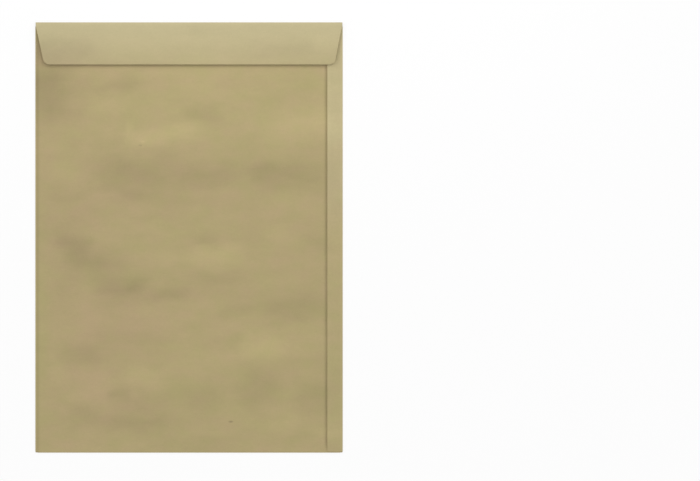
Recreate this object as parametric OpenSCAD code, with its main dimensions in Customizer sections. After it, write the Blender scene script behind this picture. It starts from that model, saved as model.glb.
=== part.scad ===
// Pocket envelope: one sheet of brown paper, folded and glued, with an open flap.
// It lies on its plain face. X runs across the pocket, Y towards the flap's fold
// and Z up through the layers, from the middle of the pocket on the table's surface.
// All sizes are in millimetres.

/* [Pocket] */
// Width from the left fold to the right fold
pocket_w = 200; // [110:1:330]
// Height from the bottom fold to the flap's fold
pocket_h = 280; // [160:1:480]
// Air between the face and the back panel of the empty pocket
pocket_air = 0.6; // [0.3:0.1:3]
// Distance from the bend of the flap's fold down to the back panel's edge at the mouth
mouth_drop = 2.5; // [1:0.5:12]

/* [Paper] */
// Thickness of the sheet
paper_t = 0.12; // [0.08:0.01:0.2]
// Depth by which a glued layer beds into the one that it is stuck to
glue_bite = 0.01; // [0.005:0.005:0.03]

/* [Flap] */
// Distance from the flap's fold to its free edge, seen from above
flap_depth = 27.5; // [14:0.5:60]
// How much each side of the flap comes in from its fold to its free edge
flap_taper = 5.5; // [0:0.5:12]
// Distance from each end of the fold to the start of the flap's side
flap_inset = 0.3; // [0.1:0.1:3]
// Radius of the two corners of the free edge
flap_corner_r = 4.5; // [1:0.5:10]
// Angle by which the flap springs up from the back panel
flap_spring = 4.2; // [0.2:0.1:8]
// Air between the flap and the side seam at the fold
flap_air = 0.08; // [0.02:0.02:0.4]

/* [Side seam] */
// Width of the glued strip, from the right fold to its cut edge
seam_w = 10; // [6:0.5:20]
// Radius of the strip's two corners
seam_corner_r = 1.5; // [0.5:0.5:4]
// Gap between the back panel's cut edge and the bend of the right fold
seam_edge_gap = 0.3; // [0.1:0.1:1.5]

/* [Bottom seam] */
// Depth of the strip that is tucked up inside, from the bottom fold to its cut edge
tuck_depth = 18; // [8:0.5:30]
// How much each side of the tucked strip comes in from its fold to its cut edge
tuck_taper = 6; // [0:0.5:10]
// Radius of the tucked strip's two corners
tuck_corner_r = 3; // [0.5:0.5:5]
// Gap between the tucked strip's fold and the side folds
tuck_side_gap = 1.5; // [0.5:0.5:5]
// Distance from the bend of the bottom fold up to the back panel's cut edge
bottom_inset = 0.6; // [0.2:0.1:4]

/* [Hidden] */
paper_colour = [0.68, 0.62, 0.46];
bend_steps = 48;
corner_steps = 10;

// Height of each layer's underside above the table; the face lies on it
back_z = paper_t + pocket_air;
tuck_z = back_z - paper_t + glue_bite;
seam_z = back_z + paper_t - glue_bite;
flap_z = seam_z + paper_t + flap_air;

// Outer radius of the fold that joins the face to a layer at height z
function fold_r(z) = (z + paper_t) / 2;

// Where the flat part of the sheet ends and the bend of each fold starts
left_x = -pocket_w / 2 + fold_r(back_z);
right_x = pocket_w / 2 - fold_r(seam_z);
bottom_y = -pocket_h / 2 + fold_r(tuck_z);
top_y = pocket_h / 2 - fold_r(flap_z);

// Cut edges of the back panel; the seam's strip ends level with it
mouth_y = top_y - mouth_drop;
hem_y = bottom_y + bottom_inset;
back_h = mouth_y - hem_y;
back_mid_y = (mouth_y + hem_y) / 2;

function unit(v) = v / norm(v);
function turned(v, angle) = [
    v.x * cos(angle) - v.y * sin(angle),
    v.x * sin(angle) + v.y * cos(angle)
];

// The points of one corner, between its two neighbours; each is [x, y, radius]
function corner_arc(before, at, after) =
    let (
        point = [at.x, at.y],
        back_way = unit([before.x, before.y] - point),
        on_way = unit([after.x, after.y] - point),
        half = acos(back_way * on_way) / 2,
        centre = point + unit(back_way + on_way) * at.z / sin(half),
        start = point + back_way * at.z / tan(half) - centre
    )
    at.z == 0 ? [point] : [
        for (i = [0 : corner_steps]) centre + turned(start, (180 - 2 * half) * i / corner_steps)
    ];

// The points of a convex outline with rounded corners, given anticlockwise
function rounded(corners) = [
    for (i = [0 : len(corners) - 1]) each corner_arc(
        corners[(i + len(corners) - 1) % len(corners)],
        corners[i],
        corners[(i + 1) % len(corners)]
    )
];

// A flat layer of paper with its underside at height z
module layer(corners, z) {
    translate([0, 0, z]) linear_extrude(paper_t) polygon(rounded(corners));
}

// The bend that joins the face to a layer at height z. It bulges towards -X from the
// Y axis, on which its length is centred, and stops short of a full turn by spring.
module fold(z, length, spring = 0) {
    r = fold_r(z);
    translate([0, 0, r]) rotate([-90, 0, 0]) linear_extrude(length, center = true)
        difference() {
            circle(r, $fn = bend_steps);
            circle(r - paper_t, $fn = bend_steps);
            for (angle = [0, -spring]) rotate(angle) translate([0, -2 * r]) square([2 * r, 4 * r]);
        }
}

// The plain face that the envelope lies on
module face_panel() {
    layer([[left_x, bottom_y, 0], [right_x, bottom_y, 0], [right_x, top_y, 0], [left_x, top_y, 0]], 0);
}

// The back panel, which turns over from the face at the left fold
module back_panel() {
    cut_x = right_x - seam_edge_gap;
    translate([left_x, back_mid_y, 0]) fold(back_z, back_h);
    layer([[left_x, hem_y, 0], [cut_x, hem_y, 0], [cut_x, mouth_y, 0], [left_x, mouth_y, 0]], back_z);
}

// The strip that turns over from the face at the right fold and is glued on the back panel
module side_seam() {
    cut_x = pocket_w / 2 - seam_w;
    translate([right_x, back_mid_y, 0]) mirror([1, 0, 0]) fold(seam_z, back_h);
    layer([
        [cut_x, hem_y, seam_corner_r],
        [right_x, hem_y, 0],
        [right_x, mouth_y, 0],
        [cut_x, mouth_y, seam_corner_r]
    ], seam_z);
}

// The strip that turns up inside at the bottom fold, with the back panel glued on it
module bottom_tuck() {
    start_x = left_x + tuck_side_gap;
    end_x = right_x - tuck_side_gap;
    cut_y = -pocket_h / 2 + tuck_depth;
    translate([(start_x + end_x) / 2, bottom_y, 0]) rotate(90) fold(tuck_z, end_x - start_x);
    layer([
        [start_x, bottom_y, 0],
        [end_x, bottom_y, 0],
        [end_x - tuck_taper, cut_y, tuck_corner_r],
        [start_x + tuck_taper, cut_y, tuck_corner_r]
    ], tuck_z);
}

// The flap, which turns over from the face at the top fold and lies loose on the back panel
module top_flap() {
    r = fold_r(flap_z);
    length = (flap_depth - r + (r - paper_t) * sin(flap_spring)) / cos(flap_spring);
    translate([0, top_y, 0]) rotate(-90) {
        translate([0, (left_x + right_x) / 2, 0]) fold(flap_z, right_x - left_x, flap_spring);
        translate([0, 0, r]) rotate([0, -flap_spring, 0]) layer([
            [0, left_x + flap_inset, 0],
            [length, left_x + flap_taper, flap_corner_r],
            [length, right_x - flap_taper, flap_corner_r],
            [0, right_x - flap_inset, 0]
        ], r - paper_t);
    }
}

module envelope() {
    color(paper_colour) union() {
        face_panel();
        back_panel();
        side_seam();
        bottom_tuck();
        top_flap();
    }
}

envelope();
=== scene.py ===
"""The looks of a brown paper envelope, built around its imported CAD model.

One closed mesh stands for the folded sheet: the face that it lies on, the back with a strip glued
on its right edge, a strip tucked up inside the bottom, and the flap. Each panel and each bend is a
grid of points in the middle of the paper, and the whole sheet is then given its thickness.
The sheet is worked out in millimetres, and everything else in metres.
"""

import math

import bpy
import numpy as np
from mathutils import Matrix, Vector, noise


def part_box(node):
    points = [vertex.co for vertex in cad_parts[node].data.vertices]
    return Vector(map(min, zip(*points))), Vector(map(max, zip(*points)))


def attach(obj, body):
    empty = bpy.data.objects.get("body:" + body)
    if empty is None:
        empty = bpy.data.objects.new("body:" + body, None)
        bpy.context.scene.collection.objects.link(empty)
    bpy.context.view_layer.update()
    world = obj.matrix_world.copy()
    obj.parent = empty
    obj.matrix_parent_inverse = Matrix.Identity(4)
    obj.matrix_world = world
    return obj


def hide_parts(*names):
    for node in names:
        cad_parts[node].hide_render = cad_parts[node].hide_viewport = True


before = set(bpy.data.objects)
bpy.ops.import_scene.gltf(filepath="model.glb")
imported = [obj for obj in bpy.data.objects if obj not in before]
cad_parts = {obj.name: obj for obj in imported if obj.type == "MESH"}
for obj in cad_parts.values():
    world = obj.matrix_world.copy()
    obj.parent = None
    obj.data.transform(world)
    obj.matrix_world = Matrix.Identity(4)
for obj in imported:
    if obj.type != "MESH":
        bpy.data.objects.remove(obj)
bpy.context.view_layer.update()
MM = 0.001

# The paper's thickness, the gap between layers that lie on each other, and the air under the flap
# at its fold
PAPER, LAYER_GAP, FLAP_AIR = 0.12, 0.01, 0.08
LAYER = PAPER + LAYER_GAP

# Height of the middle of the paper in each layer, where it meets its fold
FACE_Z = PAPER / 2
BACK_Z = 0.5
TUCK_Z = BACK_Z - LAYER
SEAM_Z = BACK_Z + LAYER
FLAP_Z = SEAM_Z + LAYER + FLAP_AIR

# Cut edges, as in the CAD model
MOUTH_DROP = 2.5
HEM_RISE = 0.6
FLAP_DEPTH = 27.5
SEAM_WIDTH, SEAM_CORNER, SEAM_EDGE_GAP = 10, 1.5, 0.3
TUCK_DEPTH, TUCK_TAPER, TUCK_CORNER, TUCK_GAP = 18, 6, 3, 1.5

# The flap's sides run straight at first; how much the left and the right side then come in, and
# the radius of the corner that each ends in
FLAP_STRAIGHT = 1.0
FLAP_LEFT, FLAP_RIGHT = (5.75, 4.5), (5.15, 4.2)

# Size of the grid's cells on a panel, at a large corner and at a small corner or a narrow band of
# painted shade; cells around a fold and across the strip
CELL, CORNER_CELL, FINE_CELL = 2.2, 0.6, 0.3
BEND_CELLS, STRIP_CELLS = 10, 11

# How wide a band of a tongue's grid is squeezed in at each side, to follow the side
SQUEEZED_BAND = 16

# How far a pressed fold bulges, as a share of half its height
PRESS = 0.45

# How the empty pocket stands open: how high the back bows up along its middle, as y and height,
# and how square its shoulders are at the bottom and at the mouth
BACK_BOW = [(-105, 0.4), (-50, 0.8), (10, 1.05), (65, 1.15)]
BACK_BOW_AT_FOLD = 0.05
SHOULDER_BOTTOM, SHOULDER_MOUTH = 4, 8

# How the flap springs up: its gap to the back at its free edge, its slope and how that curls back,
# how its sides stand higher near the fold, and how its free edge rolls down
FLAP_GAP = 1.6
FLAP_SLOPE, FLAP_CURL = 0.125, 0.0017
FLAP_SIDES_UP, FLAP_SIDES_POWER, FLAP_SIDES_FADE = 2.0, 6, 1.75
FLAP_ROLL, FLAP_ROLL_WIDTH = 0.18, 1.3

# How the strip's cut edge lifts: how high, how far from the fold the lift begins, where it dies
# away under the flap as distances below the flap's free edge, what share of it is left at the
# bottom, and how far from there the rest comes back
SEAM_LIFT, SEAM_LIFT_START = 0.9, 3
SEAM_UNDER_FLAP = (-14, 2)
SEAM_LIFT_AT_HEM, SEAM_HEM_REACH = 0.3, 9

# Fine unevenness of the back, of the flap from some way off its fold, and of the strip's lift:
# amount, length, width and seed
BACK_RIPPLE, BACK_SMALL_RIPPLE = (0.06, 26, 9, 3), (0.02, 11, 4, 8)
FLAP_RIPPLE, FLAP_RIPPLE_START = (0.03, 30, 8, 5), 8
SEAM_RIPPLE = (0.35, 1, 21, 13)

# How far from the sides and from the bottom the swells die away, and where they do so at the flap,
# as distances below its free edge
SWELL_SIDES, SWELL_BOTTOM = 12, 16
SWELL_AT_FLAP = (-4, 8)

# Painted shade beside the left fold, where the back's shoulder turns away from the light, and a
# painted shadow line beside the strip's cut edge: how far from there, how wide and how dark
LEFT_SHADE_OUT, LEFT_SHADE_WIDTH, LEFT_SHADE_DARK = 1.3, 0.8, 0.15
SEAM_SHADE_OUT, SEAM_SHADE_WIDTH, SEAM_SHADE_DARK = 1.15, 0.6, 0.13

# Half the width of the fine grid around the painted shadow line beside the strip, how far above the
# bottom it comes to its full strength, and how uneven it is: amount, length, width and seed
SEAM_SHADE_BAND, SEAM_SHADE_START = 1.8, 6
SEAM_SHADE_RIPPLE = (0.4, 1, 17, 31)

# How much paler the paper is made along its folds, and how far from them
FOLD_PALER, FOLD_PALER_WIDTH = 0.05, 0.9

# How much painted sheen pales the strip at the bottom, and the steps in which its painted light and
# its painted sheen rise towards its upper end: from y, to y and by how much; and how much less
# painted sheen the flap has at its free edge than at its fold
STRIP_SHEEN = 0.1
STRIP_LIGHT_STEPS = [(-45, -25, 0.02), (56, 66, 0.03)]
STRIP_SHEEN_STEPS = [(-10, 40, 0.4), (56, 66, 0.15)]
FLAP_SHEEN_LOSS = 0.55

# How ragged the borders of the spots of tone and painted shade below are, across and upwards:
# amount, length, width and seed; and the same of the soft mottle all over the paper
RAGGED_ACROSS, RAGGED_UP = (4, 9, 6, 11), (2.5, 12, 6, 17)
MOTTLE, SMALL_MOTTLE = (0.025, 24, 9, 23), (0.022, 9, 5, 29)

# Soft swells in the back: x, y, length, width, tilt in degrees and height
SWELLS = [
    (-22, 54, 45, 26, 4, 0.75),
    (64, 56, 34, 28, 0, 0.55),
    (3, 90, 18, 16, 5, 0.20),
    (-48, 94, 20, 10, 0, -0.12),
    (-82, 36, 22, 14, 0, 0.20),
    (18, 5, 30, 12, 4, 0.15),
    (20, -19, 24, 12, 4, 0.25),
    (-54, -13, 36, 16, -30, 0.35),
    (-8, -29, 20, 8, 4, 0.12),
    (56, -58, 34, 20, 12, -0.50),
    (54, -81, 30, 16, 15, 0.35),
    (-70, -70, 20, 12, 0, 0.25),
    (-18, -99, 38, 16, 0, 0.35),
    (-66, -108, 16, 12, 0, 0.15),
]

# Spots of darker or paler tone: some are the pulp's own, and many are painted light and shade of
# the paper's waves, of the flap's shadow and of the light on the upper back and on the flap: x, y,
# length, reach upwards, reach downwards, tilt in degrees and change of tone in per cent
TONE_AND_SHADE_SPOTS = [
    (20, 84, 92, 44, 36, 0, 5.5),
    (86, 84, 5, 34, 34, 0, 5),
    (-100, 100, 22, 19, 26, 0, -17),
    (-86, 80, 20, 12, 8, 0, -9),
    (-76, 98, 16, 14, 12, 0, -6),
    (-48, 99, 20, 5, 6, 10, -8),
    (-54, 86, 16, 5, 6, 8, 4),
    (6, 97, 14, 12, 8, 0, 4),
    (8, 78, 15, 12, 5, 0, -9),
    (-15, 67, 28, 7, 8, 13, 13),
    (-34, 64, 9, 8, 5, 0, 4),
    (-39, 71, 3, 6, 8, 0, 7),
    (74, 72, 28, 14, 13, 0, 8),
    (-33, 39, 34, 22, 18, 0, -12),
    (-47, 47, 7, 7, 6, 0, -4),
    (-38, 28, 9, 4, 6, 0, -5),
    (12, 41, 22, 12, 14, 0, -11),
    (62, 44, 36, 9, 21, 0, -10),
    (47, 45, 8, 7, 10, 0, -5),
    (-80, 44, 12, 14, 10, -30, 4),
    (-80, 26, 14, 5, 6, 0, -4),
    (72, 24, 22, 6, 8, 0, 5),
    (10, -2, 10, 6, 3, 0, -7),
    (20, -10, 19, 8, 14, 6, 11),
    (-8, -13, 18, 12, 12, 0, 4),
    (57, 2, 7, 8, 7, 0, 4),
    (82, -1, 11, 8, 9, 0, -5),
    (-76, -5, 14, 9, 8, -20, -10),
    (-68, -15, 17, 8, 11, -8, -9),
    (-49, -15, 13, 8, 12, 0, -6),
    (-46, -34, 20, 8, 13, -2, -12),
    (-54, -21, 32, 14, 16, -30, -4),
    (-33, -28, 12, 3, 9, 6, -6),
    (-14, -37, 18, 6, 7, 8, -11),
    (-80, -30, 12, 12, 14, 0, -4),
    (-80, 8, 24, 28, 24, 0, -5),
    (19, -25, 22, 6, 13, 6, -8),
    (31, -46, 13, 6, 9, 0, -5),
    (66, -43, 23, 9, 15, 6, -11),
    (68, -54, 8, 4, 7, 0, -3),
    (-70, -76, 16, 9, 11, 0, -9),
    (-36, -66, 30, 14, 16, 0, -5),
    (48, -72, 18, 13, 11, 0, 13.5),
    (76, -66, 18, 8, 14, 0, 5),
    (8, -80, 28, 10, 12, 0, 4.5),
    (-28, -90, 15, 9, 10, -8, 6),
    (-85, -89, 7, 8, 8, 0, 5),
    (-46, -101, 8, 7, 7, 0, -8),
    (-30, -110, 24, 12, 12, 0, -6),
    (-34, -120, 28, 6, 9, 0, -9),
    (-69, -114, 13, 8, 10, -10, -7),
    (8, -105, 13, 12, 12, 10, -6),
    (46, -98, 18, 14, 16, 35, -9),
    (80, -103, 14, 14, 14, 0, -7),
    (62, -120, 12, 11, 10, 0, 6),
    (91, -126, 12, 8, 10, 0, 7),
    (8, -131, 44, 4, 6, 0, -3.5),
    (-84, 122, 28, 11, 8, 0, -9),
    (64, 122, 24, 8, 7, 0, -5),
    (90, 128, 12, 12, 12, 0, 4),
    (5, 109, 92, 4, 7, 0, 6),
    (5, 129, 112, 7, 8, 0, 3.2),
    (-80, 115, 20, 4, 4, 0, -5),
    (95, -98, 7, 10, 10, 0, -3.5),
    (74, -76, 10, 6, 5, 0, 3),
    (-97, 83, 6, 8, 8, 0, 4),
]

# Places where the paper is rosier, or greener: x, y, length, width, tilt and share
ROSY = [
    (-52, -55, 46, 26, 0, 0.45),
    (-70, 20, 36, 26, 15, 0.35),
    (-60, -100, 18, 26, 20, 0.40),
    (-30, 18, 30, 10, 0, 0.25),
    (-76, 80, 14, 12, 0, 0.25),
    (62, -16, 12, 12, 0, 0.25),
    (24, -126, 12, 10, 0, 0.20),
    (-97, -60, 8, 100, 0, -0.45),
    (45, -72, 30, 16, 0, -0.40),
    (24, -10, 22, 10, 0, -0.30),
    (-12, 68, 34, 12, 10, 0.10),
    (-5, -95, 18, 12, 0, -0.20),
    (60, -125, 50, 16, 0, -0.25),
    (0, 95, 70, 26, 0, -0.10),
    (-54, 87, 24, 14, 0, -0.25),
    (-80, 119, 26, 14, 0, 0.75),
    (96, -90, 8, 60, 0, -0.30),
    (70, 90, 40, 46, 0, -0.25),
]


def bend_radius(z):
    """Radius of the middle of the sheet where it turns over from the face to a layer at height z."""
    return (z - FACE_Z) / 2


LOW, HIGH = (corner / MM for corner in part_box("envelope"))
LEFT_X = LOW.x + PRESS * bend_radius(BACK_Z) + PAPER / 2
RIGHT_X = HIGH.x - PRESS * bend_radius(SEAM_Z) - PAPER / 2
BOTTOM_Y = LOW.y + PRESS * bend_radius(TUCK_Z) + PAPER / 2
TOP_Y = HIGH.y - PRESS * bend_radius(FLAP_Z) - PAPER / 2
MIDDLE_X = (LEFT_X + RIGHT_X) / 2
HALF_WIDTH = (RIGHT_X - LEFT_X) / 2
MOUTH_Y = TOP_Y - MOUTH_DROP
HEM_Y = BOTTOM_Y + HEM_RISE
FLAP_LENGTH = TOP_Y - (HIGH.y - FLAP_DEPTH)
FLAP_EDGE_Y = TOP_Y - FLAP_LENGTH


def spaced(start, end, step):
    """Grid lines from start to end, about a step apart."""
    return np.linspace(start, end, max(1, round(abs(end - start) / step)) + 1)


def joined(*runs):
    """Several runs of grid lines as one, without the lines that repeat."""
    return np.unique(np.round(np.concatenate(runs), 6))


def eased(start, end, step, towards):
    """Grid lines that crowd towards one end of the run, "start" or "end"."""
    share = np.linspace(0, 1, max(2, round(abs(end - start) / step)) + 1)
    share = share**2 if towards == "start" else 1 - (1 - share) ** 2
    return start + (end - start) * share


def smooth_curve(knots, at):
    """Height at each place, on a smooth curve through a few (place, height) knots."""
    places, heights = np.array(knots, float).T
    slopes = np.gradient(heights, places)
    span = np.clip(np.searchsorted(places, at) - 1, 0, len(places) - 2)
    width = places[span + 1] - places[span]
    t = (at - places[span]) / width
    return (
        heights[span] * (1 + 2 * t) * (1 - t) ** 2
        + slopes[span] * width * t * (1 - t) ** 2
        + heights[span + 1] * t**2 * (3 - 2 * t)
        - slopes[span + 1] * width * t**2 * (1 - t)
    )


def smooth_step(low, high, value):
    """0 below low, 1 above high, and a smooth rise between."""
    t = np.clip((value - low) / (high - low), 0, 1)
    return t * t * (3 - 2 * t)


def ripple(x, y, amount, length, width, seed):
    """Smooth noise between about -amount and amount, as long and as wide as said."""
    x, y = np.broadcast_arrays(x, y)
    spots = zip(x.ravel() / length, y.ravel() / width)
    return amount * np.array([noise.noise(Vector((*s, seed))) for s in spots]).reshape(x.shape)


def flap_rise(s):
    """How far the flap has risen at distance s from its fold, along its middle."""
    rolled = np.maximum(s - FLAP_LENGTH + FLAP_ROLL_WIDTH, 0) / FLAP_ROLL_WIDTH
    return FLAP_SLOPE * s - FLAP_CURL * s * s - FLAP_ROLL * rolled**2


def soft_spots(x, y, spots):
    """The sum of soft, tilted, oval spots at each place."""
    total = np.zeros(np.broadcast(x, y).shape)
    for at_x, at_y, length, width, tilt, amount in spots:
        along, up = math.cos(math.radians(tilt)), math.sin(math.radians(tilt))
        a = ((x - at_x) * along + (y - at_y) * up) / length
        b = ((y - at_y) * along - (x - at_x) * up) / width
        total += amount * np.exp(-2 * (a**2 + b**2))
    return total


def swells(x, y):
    """The soft swells of the back, which die away at the folds and under the flap."""
    total = soft_spots(x, y, SWELLS)
    total = total + ripple(x, y, *BACK_RIPPLE) + ripple(x, y, *BACK_SMALL_RIPPLE)
    sides = smooth_step(0, SWELL_SIDES, x - LEFT_X) * smooth_step(0, SWELL_SIDES, RIGHT_X - x)
    bottom = smooth_step(0, SWELL_BOTTOM, y - BOTTOM_Y)
    return total * sides * (bottom * smooth_step(*SWELL_AT_FLAP, FLAP_EDGE_Y - y))


def back_height(x, y):
    """Height of the middle of the back panel."""
    at_flap_edge = FLAP_Z + flap_rise(FLAP_LENGTH) - LAYER - FLAP_GAP - BACK_Z
    near_fold = [(FLAP_EDGE_Y, at_flap_edge), (TOP_Y, BACK_BOW_AT_FOLD)]
    bow = smooth_curve([(BOTTOM_Y, 0), *BACK_BOW, *near_fold], y)
    up = (y - BOTTOM_Y) / (TOP_Y - BOTTOM_Y)
    square = SHOULDER_BOTTOM + (SHOULDER_MOUTH - SHOULDER_BOTTOM) * up
    across = 1 - np.abs((x - MIDDLE_X) / HALF_WIDTH) ** square
    return BACK_Z + bow * across + swells(x, y)


def seam_height(x, y):
    """Height of the middle of the strip that is glued on the back, whose cut edge lifts a little."""
    edge = smooth_step(RIGHT_X - SEAM_LIFT_START, HIGH.x - SEAM_WIDTH, x)
    from_hem = smooth_step(0, SEAM_HEM_REACH, y - HEM_Y)
    share = SEAM_LIFT_AT_HEM + (1 - SEAM_LIFT_AT_HEM) * from_hem
    free = smooth_step(*SEAM_UNDER_FLAP, FLAP_EDGE_Y - y) * share
    uneven = 1 + ripple(0, y, *SEAM_RIPPLE)
    return back_height(x, y) + LAYER + SEAM_LIFT * edge * free * uneven


def tuck_height(x, y):
    """Height of the middle of the strip that is tucked up under the back."""
    return back_height(x, y) - LAYER


def flap_height(x, s):
    """Height of the middle of the flap at distance s from its fold."""
    out = np.abs((x - MIDDLE_X) / HALF_WIDTH)
    soft = ripple(x, s, *FLAP_RIPPLE) * smooth_step(0, FLAP_RIPPLE_START, s)
    to_edge = np.maximum(1 - s / FLAP_LENGTH, 0)
    sides_up = FLAP_SIDES_UP * out**FLAP_SIDES_POWER * to_edge**FLAP_SIDES_FADE
    return FLAP_Z + flap_rise(s) * (1 + sides_up) + soft


def tongue_half_width(s, length, root, taper, corner):
    """Half the width of a tapered tongue with two round corners, at distance s from its root."""
    lean = math.atan(taper / length)
    middle = length - corner
    centre = root - math.tan(lean) * middle - corner / math.cos(lean)
    straight = root - math.tan(lean) * s
    arc = centre + np.sqrt(np.maximum(corner**2 - (s - middle) ** 2, 0))
    return np.where(s < middle + corner * math.sin(lean), straight, arc)


def flap_half_width(s, taper, corner):
    """Distance from the flap's middle to one of its sides, at distance s from its fold."""
    tapered = np.maximum(s - FLAP_STRAIGHT, 0)
    return tongue_half_width(tapered, FLAP_LENGTH - FLAP_STRAIGHT, HALF_WIDTH, taper, corner)


def squeezed(x, half_width, root):
    """Grid columns of a tongue, pulled in near its sides only, so that they end at half_width."""
    core = root - SQUEEZED_BAND
    out = np.abs(x - MIDDLE_X)
    pulled = core + (out - core) * (half_width - core) / (root - core)
    return MIDDLE_X + np.sign(x - MIDDLE_X) * np.where(out > core, pulled, out)


def tongue_rows(length, corner):
    """Distances from the root of a tongue, closer together at its round corners."""
    corner_rows = eased(length - corner, length, CORNER_CELL, "end")
    return joined(spaced(0, length - corner, CELL), corner_rows)


# Grid lines that the panels share where they meet
TUCK_LEFT, TUCK_RIGHT = LEFT_X + TUCK_GAP, RIGHT_X - TUCK_GAP
TUCK_COLUMNS = spaced(TUCK_LEFT, TUCK_RIGHT, CELL)
FACE_COLUMNS = joined([LEFT_X], TUCK_COLUMNS, [RIGHT_X])
POCKET_ROWS = joined(
    eased(HEM_Y, HEM_Y + SEAM_CORNER, FINE_CELL, "start"),
    spaced(HEM_Y + SEAM_CORNER, MOUTH_Y - SEAM_CORNER, CELL),
    eased(MOUTH_Y - SEAM_CORNER, MOUTH_Y, FINE_CELL, "end"),
)
FACE_ROWS = joined([BOTTOM_Y], POCKET_ROWS, [TOP_Y])


def pulp_tone_and_painted_shade(x, y):
    """How much darker or paler the paper is at each place, with ragged borders: the pulp's own
    mottle, and spots that are partly pulp tone and partly painted light and shade.
    """
    ragged_x = x + ripple(x, y, *RAGGED_ACROSS)
    ragged_y = y + ripple(x, y, *RAGGED_UP)
    total = ripple(ragged_x, ragged_y, *MOTTLE) + ripple(x, y, *SMALL_MOTTLE)
    for at_x, at_y, length, reach_up, reach_down, tilt, percent in TONE_AND_SHADE_SPOTS:
        along, up = math.cos(math.radians(tilt)), math.sin(math.radians(tilt))
        a = ((ragged_x - at_x) * along + (ragged_y - at_y) * up) / length
        b = (ragged_y - at_y) * along - (ragged_x - at_x) * up
        b = b / np.where(b > 0, reach_up, reach_down)
        total += percent / 100 * np.exp(-2 * (a**4 + b**2))
    return total


def band(distance, width):
    """1 at distance 0, and a soft fall to 0 on both sides."""
    return np.exp(-((distance / width) ** 2))


def paler_near_fold(distance):
    """How much paler the paper is made at that distance from a fold."""
    return 1 + FOLD_PALER * band(distance, FOLD_PALER_WIDTH)


def strip_painted_light(y):
    """The strip's tone with painted light, brighter towards its upper end."""
    return 1 + sum(rise * smooth_step(start, end, y) for start, end, rise in STRIP_LIGHT_STEPS)


def strip_painted_sheen(y):
    """The strip's painted sheen, which also rises towards its upper end."""
    steps = (rise * smooth_step(start, end, y) for start, end, rise in STRIP_SHEEN_STEPS)
    return STRIP_SHEEN + sum(steps)


class Sheet:
    """The middle of the paper as one mesh of quads, with each point's place on the unfolded blank
    and its looks: tone, which carries painted light and shade as well, painted sheen and how rosy it
    is."""

    def __init__(self):
        self.points, self.blank, self.looks, self.quads, self.seen = [], [], [], [], {}

    def add(self, x, y, z, u, v, tone=1.0, painted_sheen=0.0):
        """Adds a grid whose first axis runs along u and whose second runs along v."""
        # The tone carries the pulp's own tone and painted light and shade
        looks = tone + pulp_tone_and_painted_shade(x, y), painted_sheen, soft_spots(x, y, ROSY)
        x, y, z, u, v, *looks = np.broadcast_arrays(x, y, z, u, v, *looks)
        ids = np.empty(x.shape, int)
        for cell in np.ndindex(x.shape):
            point = (x[cell], y[cell], z[cell])
            key = tuple(round(c, 4) for c in point)
            if key not in self.seen:
                self.seen[key] = len(self.points)
                self.points.append(point)
                self.blank.append((u[cell], v[cell]))
                self.looks.append([look[cell] for look in looks])
            ids[cell] = self.seen[key]
        corners = ids[:-1, :-1], ids[1:, :-1], ids[1:, 1:], ids[:-1, 1:]
        self.quads.extend(np.stack(corners, -1).reshape(-1, 4).tolist())


def add_panels(sheet):
    """The face, the back and the strip on it."""
    columns, rows = FACE_COLUMNS[:, None], FACE_ROWS[None, :]
    sheet.add(columns, rows, FACE_Z, columns, rows)

    seam_shade_x = HIGH.x - SEAM_WIDTH - SEAM_SHADE_OUT
    x = joined(
        eased(LEFT_X, RIGHT_X - SEAM_EDGE_GAP, CELL, "start"),
        spaced(seam_shade_x - SEAM_SHADE_BAND, seam_shade_x + SEAM_SHADE_BAND, FINE_CELL),
    )[::-1, None]
    y = POCKET_ROWS[None, :]
    turn = math.pi * bend_radius(BACK_Z)
    # Painted shade beside the left fold, where the back turns down to it
    left_painted_shade = 1 - LEFT_SHADE_DARK * band(x - LEFT_X - LEFT_SHADE_OUT, LEFT_SHADE_WIDTH)
    # A painted shadow line beside the strip's cut edge, uneven along its length
    seam_shade_depth = SEAM_SHADE_DARK * (1 + ripple(0, y, *SEAM_SHADE_RIPPLE)) * smooth_step(0, SEAM_SHADE_START, y - HEM_Y)
    seam_painted_shade = 1 - seam_shade_depth * band(x - seam_shade_x, SEAM_SHADE_WIDTH)
    tone = left_painted_shade * seam_painted_shade * paler_near_fold(x - LEFT_X) * paler_near_fold(y - BOTTOM_Y)
    sheet.add(x, y, back_height(x, y), 2 * LEFT_X - turn - x, y, tone)

    from_end = np.minimum(y - HEM_Y, MOUTH_Y - y)
    short = np.maximum(SEAM_CORNER - from_end, 0)
    cut_x = HIGH.x - SEAM_WIDTH + SEAM_CORNER - np.sqrt(SEAM_CORNER**2 - short**2)
    x = RIGHT_X + (cut_x - RIGHT_X) * np.linspace(0, 1, STRIP_CELLS + 1)[:, None]
    turn = math.pi * bend_radius(SEAM_Z)
    u = 2 * RIGHT_X + turn - x
    # Painted light and painted sheen on the strip, stronger towards its upper end
    tone = strip_painted_light(y) * paler_near_fold(RIGHT_X - x) * paler_near_fold(y - BOTTOM_Y)
    sheet.add(x, y, seam_height(x, y), u, y, tone, strip_painted_sheen(y))


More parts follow.
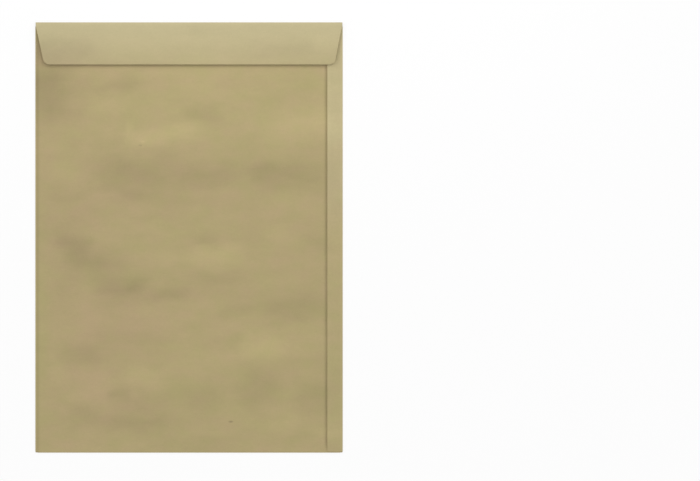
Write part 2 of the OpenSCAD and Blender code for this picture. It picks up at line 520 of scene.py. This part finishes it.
def add_side_folds(sheet):
    """The bends from the face to the back on the left, and to the strip on the right."""
    y = POCKET_ROWS[None, :]
    turned = np.linspace(0, math.pi, BEND_CELLS + 1)[:, None]
    r = bend_radius(BACK_Z)
    x, z = LEFT_X - PRESS * r * np.sin(turned), FACE_Z + r * (1 + np.cos(turned))
    sheet.add(x, y, z, LEFT_X - r * (math.pi - turned), y, paler_near_fold(0))
    r = bend_radius(SEAM_Z)
    x, z = RIGHT_X + PRESS * r * np.sin(turned), FACE_Z + r * (1 - np.cos(turned))
    share = turned / math.pi
    # The strip's painted light and sheen fade in across its bend
    tone = paler_near_fold(0) * (1 + (strip_painted_light(y) - 1) * share)
    sheet.add(x, y, z, RIGHT_X + r * turned, y, tone, strip_painted_sheen(y) * share)


def add_flap(sheet):
    """The flap and its bend."""
    r = bend_radius(FLAP_Z)
    x = FACE_COLUMNS[:, None]
    turned = np.linspace(0, math.pi, BEND_CELLS + 1)[None, :]
    y, z = TOP_Y + PRESS * r * np.sin(turned), FACE_Z + r * (1 - np.cos(turned))
    # Painted sheen rises across the flap's bend
    sheet.add(x, y, z, x, TOP_Y + r * turned, paler_near_fold(0), turned / math.pi)
    s = tongue_rows(FLAP_LENGTH, FLAP_LEFT[1])[None, :]
    halves = [flap_half_width(s, *side) for side in (FLAP_LEFT, FLAP_RIGHT)]
    x = squeezed(x, np.where(x < MIDDLE_X, *halves), HALF_WIDTH)
    # Painted sheen on the flap, strongest at its fold
    painted_sheen = 1 - FLAP_SHEEN_LOSS * s / FLAP_LENGTH
    sheet.add(x, TOP_Y - s, flap_height(x, s), x, TOP_Y + math.pi * r + s, paler_near_fold(s), painted_sheen)


def add_tuck(sheet):
    """The strip inside the bottom and its bend."""
    r = bend_radius(TUCK_Z)
    x = TUCK_COLUMNS[:, None]
    turned = np.linspace(0, math.pi, BEND_CELLS + 1)[None, :]
    y, z = BOTTOM_Y - PRESS * r * np.sin(turned), FACE_Z + r * (1 + np.cos(turned))
    sheet.add(x, y, z, x, BOTTOM_Y - r * (math.pi - turned), paler_near_fold(0))
    length = LOW.y + TUCK_DEPTH - BOTTOM_Y
    root = (TUCK_RIGHT - TUCK_LEFT) / 2
    s = tongue_rows(length, TUCK_CORNER)[None, ::-1]
    x = squeezed(x, tongue_half_width(s, length, root, TUCK_TAPER, TUCK_CORNER), root)
    y = BOTTOM_Y + s
    sheet.add(x, y, tuck_height(x, y), x, BOTTOM_Y - math.pi * r - s)


def vertex_normals(points, quads):
    """Unit normals of the middle of the sheet, which point into the pocket."""
    a, b, c, d = (points[quads[:, k]] for k in range(4))
    across = np.cross(c - a, d - b)
    total = np.zeros_like(points)
    for k in range(4):
        np.add.at(total, quads[:, k], across)
    return total / np.linalg.norm(total, axis=1, keepdims=True)


def open_edges(quads):
    """The edges that only one quad has, in that quad's own direction."""
    edges = np.concatenate([quads[:, [k, (k + 1) % 4]] for k in range(4)])
    count = {}
    for a, b in edges:
        key = (min(a, b), max(a, b))
        count[key] = count.get(key, 0) + 1
    return [(a, b) for a, b in edges.tolist() if count[min(a, b), max(a, b)] == 1]


def paper_mesh(name, sheet):
    """A closed mesh of the sheet with its thickness: the outside, the inside and the cut edges."""
    points, quads = np.array(sheet.points), np.array(sheet.quads)
    inward = vertex_normals(points, quads) * PAPER / 2
    count = len(points)
    vertices = np.concatenate([points - inward, points + inward]) * MM
    rim = open_edges(quads)
    outside = quads[:, ::-1].tolist()
    inside = (quads + count).tolist()
    cut = [(a, b, b + count, a + count) for a, b in rim]
    mesh = bpy.data.meshes.new(name)
    mesh.from_pydata(vertices.tolist(), [], outside + inside + cut)

    smooth = [True] * (2 * len(quads)) + [False] * len(cut)
    mesh.polygons.foreach_set("use_smooth", smooth)
    mesh.polygons.foreach_set("material_index", [0 if s else 1 for s in smooth])
    sharp = {tuple(sorted(e)) for a, b in rim for e in ((a, b), (a + count, b + count))}
    for edge in mesh.edges:
        edge.use_edge_sharp = tuple(sorted(edge.vertices)) in sharp

    blank = np.array(sheet.blank) * MM
    side = np.repeat([0.0, 1.0], count)
    place = np.column_stack([np.tile(blank, (2, 1)), side])
    mesh.attributes.new("blank", "FLOAT_VECTOR", "POINT").data.foreach_set("vector", place.ravel())
    for key, values in zip(("tone", "painted_sheen", "rosy"), np.tile(sheet.looks, (2, 1)).T):
        mesh.attributes.new(key, "FLOAT", "POINT").data.foreach_set("value", values.copy())
    mesh.validate()
    return mesh


class Nodes:
    """A short way to write a material's node tree: each call adds a node and returns its output.
    An input is given as a number, a colour or the output that it is linked to."""

    def __init__(self, tree):
        self.tree = tree
        tree.nodes.clear()

    def add(self, kind, output=0, settings=None, **inputs):
        """A node of that kind. Base_Color is its input of that name, and i0 its first input."""
        node = self.tree.nodes.new(kind)
        for key, value in (settings or {}).items():
            setattr(node, key, value)
        for key, value in inputs.items():
            socket = node.inputs[int(key[1:]) if key[1:].isdigit() else key.replace("_", " ")]
            if isinstance(value, bpy.types.NodeSocket):
                self.tree.links.new(value, socket)
            else:
                socket.default_value = value
        return node.outputs[output]

    def math(self, operation, a, b=0.0, c=0.0):
        return self.add("ShaderNodeMath", 0, {"operation": operation}, i0=a, i1=b, i2=c)

    def vector_math(self, operation, a, b, output=0):
        return self.add("ShaderNodeVectorMath", output, {"operation": operation}, i0=a, i1=b)

    def noise(self, place, cells, detail=2.0, roughness=0.5, distortion=0.0):
        """Noise with so many cells a metre along each axis of the place."""
        return self.add(
            "ShaderNodeTexNoise",
            0,
            Vector=self.vector_math("MULTIPLY", place, cells),
            Scale=1.0,
            Detail=detail,
            Roughness=roughness,
            Distortion=distortion,
        )

    def range(self, value, low, high, to_low, to_high):
        """The value moved from low..high to to_low..to_high, and kept between them."""
        return self.add("ShaderNodeMapRange", 0, i0=value, i1=low, i2=high, i3=to_low, i4=to_high)

    def mix(self, share, a, b, blend="MIX"):
        """Colour a, and colour b in that share."""
        settings = {"data_type": "RGBA", "blend_type": blend}
        return self.add("ShaderNodeMix", 2, settings, i0=share, i6=a, i7=b)

    def show(self, surface, kind):
        """Links the finished surface to the tree's output, a node of that kind."""
        output = self.tree.nodes.new(kind)
        self.tree.links.new(surface, output.inputs["Surface"])

    def tone(self, colour, value):
        """The colour times a grey of that value."""
        grey = self.add("ShaderNodeCombineColor", 0, i0=value, i1=value, i2=value)
        return self.mix(1.0, colour, grey, "MULTIPLY")


def linear(red, green, blue):
    """A colour given as it looks on a screen, 0 to 255, in the linear values that nodes take."""
    shares = (c / 255 for c in (red, green, blue))
    return (*(s / 12.92 if s <= 0.04045 else ((s + 0.055) / 1.055) ** 2.4 for s in shares), 1.0)


PAPER_ROSY = linear(179, 159, 121)
PAPER_GREEN = linear(172, 160, 113)
# The paler colour that the painted sheen mixes in
PAPER_SHEEN = linear(188, 177, 138)
PAPER_CORE = linear(196, 180, 140)

# Noises of the paper: cells a metre along x and y of the unfolded sheet and from one side of it to
# the other, then detail, roughness and distortion
PULP_CLOUDS = ((14, 46, 1), 3.0, 0.55, 0.3)
PULP = ((260, 420, 1), 3.0, 0.6)
HUE = ((13, 24, 3), 2.0)
HUE_SPOTS = ((70, 95, 3), 3.0)
FIBRES = ((420, 2600, 1), 3.0, 0.7, 1.4)
CROSS_FIBRES = ((2200, 520, 1), 3.0, 0.7, 1.4)
GRAIN = ((900, 1300, 1), 4.0, 0.65)
COCKLE = ((50, 130, 1), 2.0)
MARK_FUZZ = ((1500, 1500, 1), 2.0)
EDGE_FUZZ = ((1800, 1800, 6), 3.0, 0.7)
SPECK_CELLS = (300, 520, 1)

# How far apart the noises on the sheet's two sides are
SIDES_APART = 0.37

# What the noises do to the tone, to the share of green and to the roughness: from this value to
# that value of the noise, and what it gives at each
CLOUDS_TONE = (0.3, 0.7, 0.98, 1.02)
PULP_TONE = (0.3, 0.7, 0.99, 1.01)
FIBRES_TONE = (0.35, 0.7, 1.02, 0.96)
CROSS_FIBRES_TONE = (0.4, 0.75, 1.0, 1.04)
SPECKS_TONE = (0.02, 0.10, 0.9, 1.0)
EDGE_TONE = (0.3, 0.7, 0.88, 1.08)
GREEN_SHARE = (0.35, 0.65, 0.4, 0.7)
GREEN_SPOTS = (0.3, 0.7, -0.3, 0.3)
PAPER_ROUGHNESS = (0.3, 0.7, 0.78, 0.9)

# Roughness of the cut edge, reflection level of the paper, depth of its relief and the grain's
# share in that
EDGE_ROUGHNESS = 0.95
PAPER_SPECULAR = 0.3
RELIEF_DEPTH, GRAIN_SHARE = 0.06, 0.08

# Where a mark's border starts and ends, in its own radii, how ragged it is, and the stretch that
# keeps a mark on its own side of the sheet
MARK_BORDER = (0.5, 1.1)
MARK_RAGGED = 1.2
MARK_OWN_SIDE = 50

# Small marks in the back: x, y, length, width and tone
MARKS = [
    (27.2, -119.8, 1.7, 0.7, 0.70),
    (-31.5, 59.9, 1.5, 0.7, 0.86),
    (-29.8, 62.3, 1.7, 0.9, 1.06),
]


def brown_paper():
    """Uncoated brown paper: cloudy pulp, fine fibres, small specks, a few marks on the back, and the
    painted light, shade and sheen that the sheet carries.
    """
    material = bpy.data.materials.new("brown_paper")
    material.use_nodes = True
    n = Nodes(material.node_tree)
    blank = n.add("ShaderNodeAttribute", 1, {"attribute_name": "blank"})
    place = n.vector_math("MULTIPLY", blank, (1, 1, SIDES_APART))

    green = n.range(n.noise(place, *HUE), *GREEN_SHARE)
    green = n.math("ADD", green, n.range(n.noise(place, *HUE_SPOTS), *GREEN_SPOTS))
    rosy = n.add("ShaderNodeAttribute", 2, {"attribute_name": "rosy"})
    colour = n.mix(n.math("SUBTRACT", green, rosy), PAPER_ROSY, PAPER_GREEN)
    # Painted sheen on the strip and the flap, mixed in as a paler colour
    painted_sheen = n.add("ShaderNodeAttribute", 2, {"attribute_name": "painted_sheen"})
    colour = n.mix(painted_sheen, colour, PAPER_SHEEN)
    # The tone attribute carries painted light and shade as well as the pulp's own tone
    colour = n.tone(colour, n.add("ShaderNodeAttribute", 2, {"attribute_name": "tone"}))
    colour = n.tone(colour, n.range(n.noise(place, *PULP_CLOUDS), *CLOUDS_TONE))
    colour = n.tone(colour, n.range(n.noise(place, *PULP), *PULP_TONE))
    colour = n.tone(colour, n.range(n.noise(place, *FIBRES), *FIBRES_TONE))
    colour = n.tone(colour, n.range(n.noise(place, *CROSS_FIBRES), *CROSS_FIBRES_TONE))
    cells = n.vector_math("MULTIPLY", place, SPECK_CELLS)
    specks = n.add("ShaderNodeTexVoronoi", 0, Vector=cells, Scale=1.0, Randomness=1.0)
    colour = n.tone(colour, n.range(specks, *SPECKS_TONE))
    for mark in MARKS:
        colour = n.tone(colour, mark_tone(n, blank, *mark))

    grain = n.noise(place, *GRAIN)
    height = n.math("ADD", n.math("MULTIPLY", grain, GRAIN_SHARE), n.noise(place, *COCKLE))
    bump = n.add("ShaderNodeBump", 0, Strength=1.0, Distance=RELIEF_DEPTH * MM, Height=height)
    roughness = n.range(grain, *PAPER_ROUGHNESS)
    surface = n.add(
        "ShaderNodeBsdfPrincipled", 0, Base_Color=colour, Roughness=roughness, Normal=bump
    )
    surface.node.inputs["Specular IOR Level"].default_value = PAPER_SPECULAR
    n.show(surface, "ShaderNodeOutputMaterial")
    return material


def mark_tone(n, blank, x, y, length, width, tone):
    """The tone of the paper around a small ragged mark on the back: 1 away from it."""
    turn = math.pi * bend_radius(BACK_Z)
    at = Vector((2 * LEFT_X - turn - x, y, 0)) * MM
    away = n.vector_math("SUBTRACT", blank, at)
    fuzz = n.math("SUBTRACT", n.noise(blank, *MARK_FUZZ), 0.5)
    stretched = n.vector_math("MULTIPLY", away, (1 / length, 1 / width, MARK_OWN_SIDE))
    distance = n.math("DIVIDE", n.vector_math("LENGTH", stretched, (0, 0, 0), 1), MM)
    distance = n.math("ADD", distance, n.math("MULTIPLY", fuzz, MARK_RAGGED))
    return n.range(distance, *MARK_BORDER, tone, 1.0)


def cut_edge():
    """The cut edge of the paper, where its paler core shows."""
    material = bpy.data.materials.new("cut_paper_edge")
    material.use_nodes = True
    n = Nodes(material.node_tree)
    blank = n.add("ShaderNodeAttribute", 1, {"attribute_name": "blank"})
    colour = n.tone(PAPER_CORE, n.range(n.noise(blank, *EDGE_FUZZ), *EDGE_TONE))
    surface = n.add(
        "ShaderNodeBsdfPrincipled", 0, Base_Color=colour, Roughness=EDGE_ROUGHNESS
    )
    n.show(surface, "ShaderNodeOutputMaterial")
    return material


def add_envelope():
    """The folded sheet, which stands for the CAD node."""
    sheet = Sheet()
    add_panels(sheet)
    add_side_folds(sheet)
    add_flap(sheet)
    add_tuck(sheet)
    mesh = paper_mesh("paper_envelope", sheet)
    mesh.materials.append(brown_paper())
    mesh.materials.append(cut_edge())
    envelope = bpy.data.objects.new("paper_envelope", mesh)
    bpy.context.scene.collection.objects.link(envelope)
    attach(envelope, "root")
    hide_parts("envelope")


def seen_directly(n):
    """1 for what the camera sees, straight, in a reflection or through glass, and 0 for light."""
    path = n.add("ShaderNodeLightPath").node.outputs
    seen = n.math("MAXIMUM", path["Is Camera Ray"], path["Is Glossy Ray"])
    return n.math("MAXIMUM", seen, path["Is Transmission Ray"])


# How far the floor reaches to each side and how high it lies, in metres, how white it is, and
# how much of what the camera sees of it glows
FLOOR_REACH, FLOOR_Z = 6.0, -0.05 * MM
FLOOR_WHITE = (0.97, 0.97, 0.97, 1)
FLOOR_GLOW = 0.75


def add_floor():
    """A plain white floor that keeps the envelope's shadow."""
    corners = [(-1, -1, 0), (1, -1, 0), (1, 1, 0), (-1, 1, 0)]
    mesh = bpy.data.meshes.new("floor")
    mesh.from_pydata([Vector(c) * FLOOR_REACH for c in corners], [], [(0, 1, 2, 3)])
    floor = bpy.data.objects.new("floor", mesh)
    floor.location.z = FLOOR_Z
    bpy.context.scene.collection.objects.link(floor)
    material = bpy.data.materials.new("floor_white")
    material.use_nodes = True
    n = Nodes(material.node_tree)
    matte = n.add("ShaderNodeBsdfDiffuse", 0, Color=FLOOR_WHITE)
    glow = n.add("ShaderNodeEmission", 0, Color=(1, 1, 1, 1), Strength=1.0)
    share = n.math("MULTIPLY", seen_directly(n), FLOOR_GLOW)
    surface = n.add("ShaderNodeMixShader", 0, i0=share, i1=matte, i2=glow)
    n.show(surface, "ShaderNodeOutputMaterial")
    mesh.materials.append(material)


# Level at which the surround lights the envelope
FILL = 0.705


def set_world():
    """A white surround that also fills the shadows."""
    world = bpy.data.worlds.new("studio")
    bpy.context.scene.world = world
    world.use_nodes = True
    n = Nodes(world.node_tree)
    strength = n.range(seen_directly(n), 0.0, 1.0, FILL, 1.0)
    surface = n.add("ShaderNodeBackground", 0, Color=(1, 1, 1, 1), Strength=strength)
    n.show(surface, "ShaderNodeOutputWorld")


def towards(azimuth, elevation):
    """A unit vector towards a light: azimuth is turned from +Y to +X, in degrees."""
    a, e = math.radians(azimuth), math.radians(elevation)
    return Vector((math.sin(a) * math.cos(e), math.cos(a) * math.cos(e), math.sin(e)))


# Broad lamps on both sides, beyond the flap: azimuth from +Y to +X, elevation and level, and how
# wide each looks from the envelope, in degrees
KEYS = {"right_key": (60, 42, 0.12), "left_key": (-60, 42, 0.095)}
KEY_SPREAD = 60

# The small lamp near the flap's fold: its size and its place in metres, the way that its back
# faces, and its power in watts
TOP_LAMP_SIZE = (0.5, 0.12)
TOP_LAMP_PLACE, TOP_LAMP_BACK = (0.05, 0.31, 0.20), (0, 0.17, 0.20)
TOP_LAMP_POWER = 0.17


def add_lights():
    """A broad lamp on each side, as on a copying stand, and a small one near the flap's fold."""
    for name, (azimuth, elevation, level) in KEYS.items():
        way = towards(azimuth, elevation)
        light = bpy.data.lights.new(name, "SUN")
        light.energy = level * math.pi / way.z
        light.angle = math.radians(KEY_SPREAD)
        key = bpy.data.objects.new(name, light)
        key.rotation_mode = "QUATERNION"
        key.rotation_quaternion = way.to_track_quat("Z", "Y")
        key.location = way
        bpy.context.scene.collection.objects.link(key)

    light = bpy.data.lights.new("top_lamp", "AREA")
    light.shape = "RECTANGLE"
    light.size, light.size_y = TOP_LAMP_SIZE
    light.energy = TOP_LAMP_POWER
    lamp = bpy.data.objects.new("top_lamp", light)
    lamp.location = TOP_LAMP_PLACE
    lamp.rotation_mode = "QUATERNION"
    lamp.rotation_quaternion = Vector(TOP_LAMP_BACK).to_track_quat("Z", "Y")
    lamp.visible_camera = False
    bpy.context.scene.collection.objects.link(lamp)


# The photograph's frame and where the envelope lies in it, in pixels
FRAME_WIDTH, FRAME_HEIGHT = 700, 481
ENVELOPE_LEFT, ENVELOPE_RIGHT = 35.4, 342.7
ENVELOPE_TOP, ENVELOPE_BOTTOM = 22.7, 452.3

# A long lens, because the photograph shows the envelope without perspective, with its sensor, in
# millimetres; and how far the camera sees, in metres
LENS, SENSOR = 240.0, 36.0
CAMERA_REACH = 100


def add_camera():
    """Looks straight down, with the envelope at the left of the frame as in the photograph."""
    pixel = (HIGH.x - LOW.x) * MM / (ENVELOPE_RIGHT - ENVELOPE_LEFT)
    aside = (FRAME_WIDTH - ENVELOPE_LEFT - ENVELOPE_RIGHT) / 2 * pixel
    down = (FRAME_HEIGHT - ENVELOPE_TOP - ENVELOPE_BOTTOM) / 2 * pixel
    camera = bpy.data.cameras.new("camera")
    camera.lens, camera.sensor_width = LENS, SENSOR
    camera.clip_end = CAMERA_REACH
    eye = bpy.data.objects.new("camera", camera)
    eye.location = (aside, -down, FRAME_WIDTH * pixel * LENS / SENSOR)
    bpy.context.scene.collection.objects.link(eye)
    bpy.context.scene.camera = eye


bpy.context.scene.view_settings.view_transform = "Standard"
add_camera()
add_envelope()
add_floor()
set_world()
add_lights()
